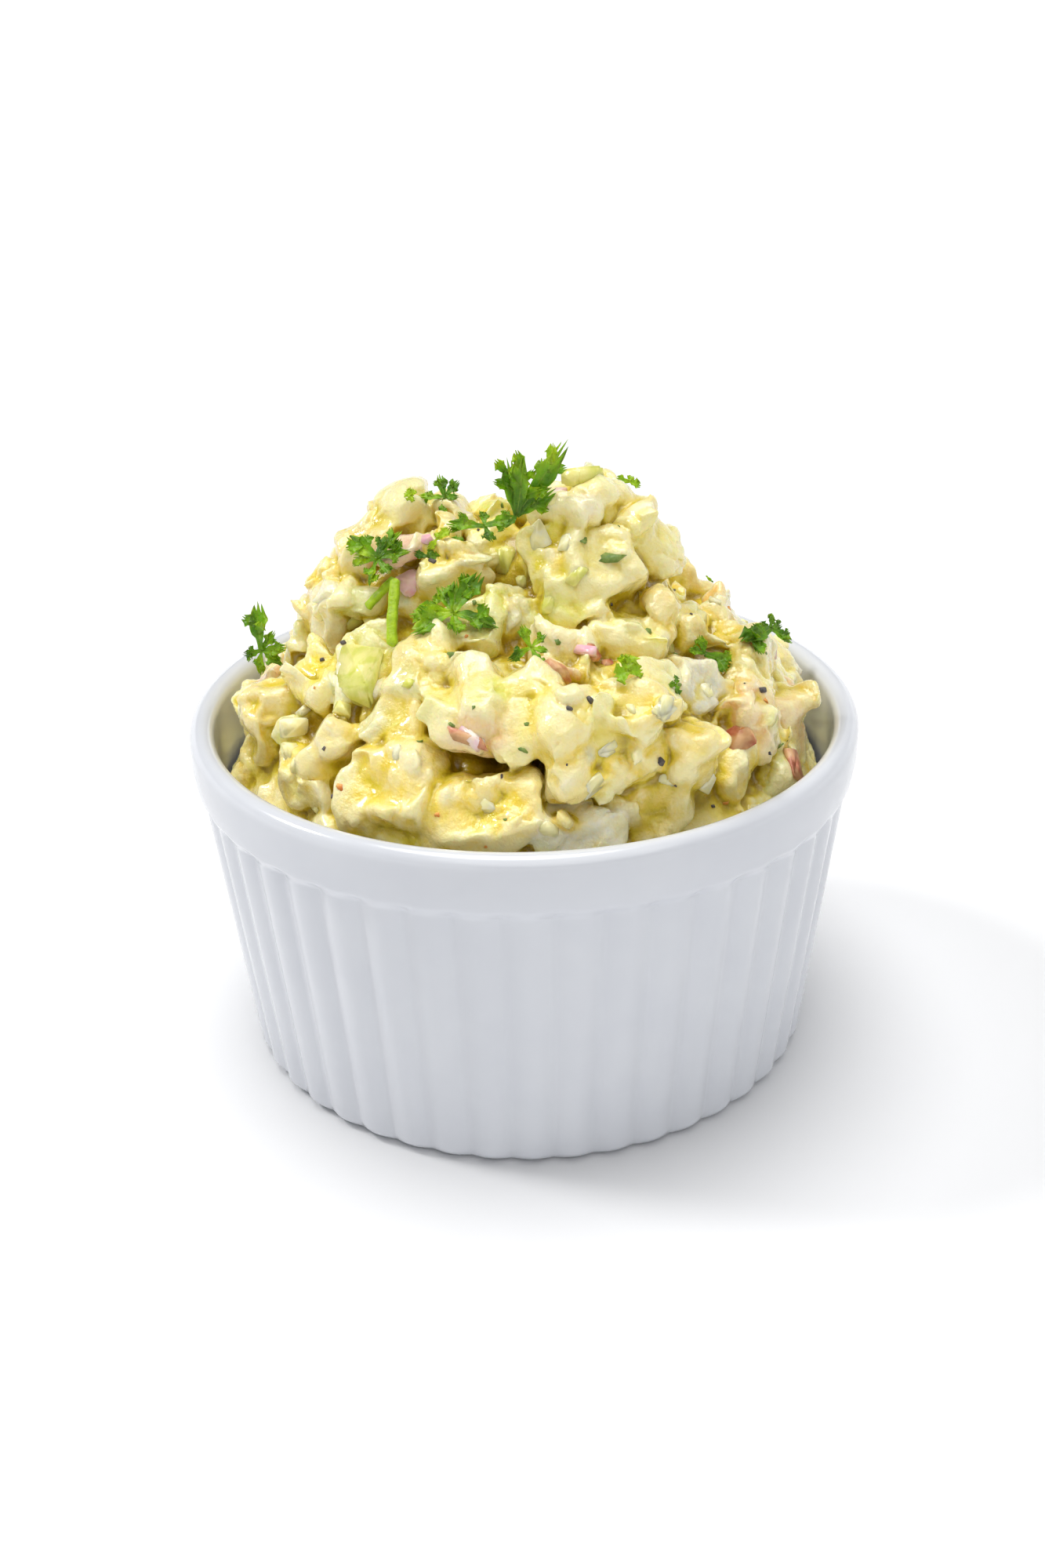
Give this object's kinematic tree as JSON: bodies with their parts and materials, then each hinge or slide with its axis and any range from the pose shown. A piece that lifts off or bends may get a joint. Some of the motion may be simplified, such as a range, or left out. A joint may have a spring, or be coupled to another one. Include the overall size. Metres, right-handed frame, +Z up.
{
  "type": "potato salad in a ramekin",
  "caption": "Creamy potato salad heaped above the rim of a small white fluted ramekin, with cut parsley strewn on top.",
  "frame": {"origin": "on the table under the middle of the ramekin's foot", "axes": "+Z up, -Y towards the side that the salad is seen from"},
  "size_m": [0.09, 0.09, 0.0858],
  "materials": {
    "glaze": "glossy white glaze",
    "dressed_potato": "moist boiled potato in creamy dressing",
    "parsley": "fresh green leaf, softly shiny"
  },
  "bodies": {
    "root": {"dish": "glaze", "parsley_back_left": "parsley", "parsley_back_low": "parsley", "parsley_back_right": "parsley", "parsley_chip_back": "parsley", "parsley_chip_back_high": "parsley", "parsley_chip_back_side": "parsley", "parsley_chip_hill": "parsley", "parsley_chip_left": "parsley", "parsley_chip_low": "parsley", "parsley_chip_mid": "parsley", "parsley_chip_right": "parsley", "parsley_cleft": "parsley", "parsley_crown": "parsley", "parsley_curl_front": "parsley", "parsley_curl_low": "parsley", "parsley_front": "parsley", "parsley_hilltop": "parsley", "parsley_left_hill": "parsley", "parsley_left_rim": "parsley", "parsley_middle": "parsley", "parsley_right": "parsley", "parsley_right_rim": "parsley", "parsley_stem_long": "parsley", "parsley_stem_short": "parsley", "potato_salad": "dressed_potato"}
  },
  "joints": []
}
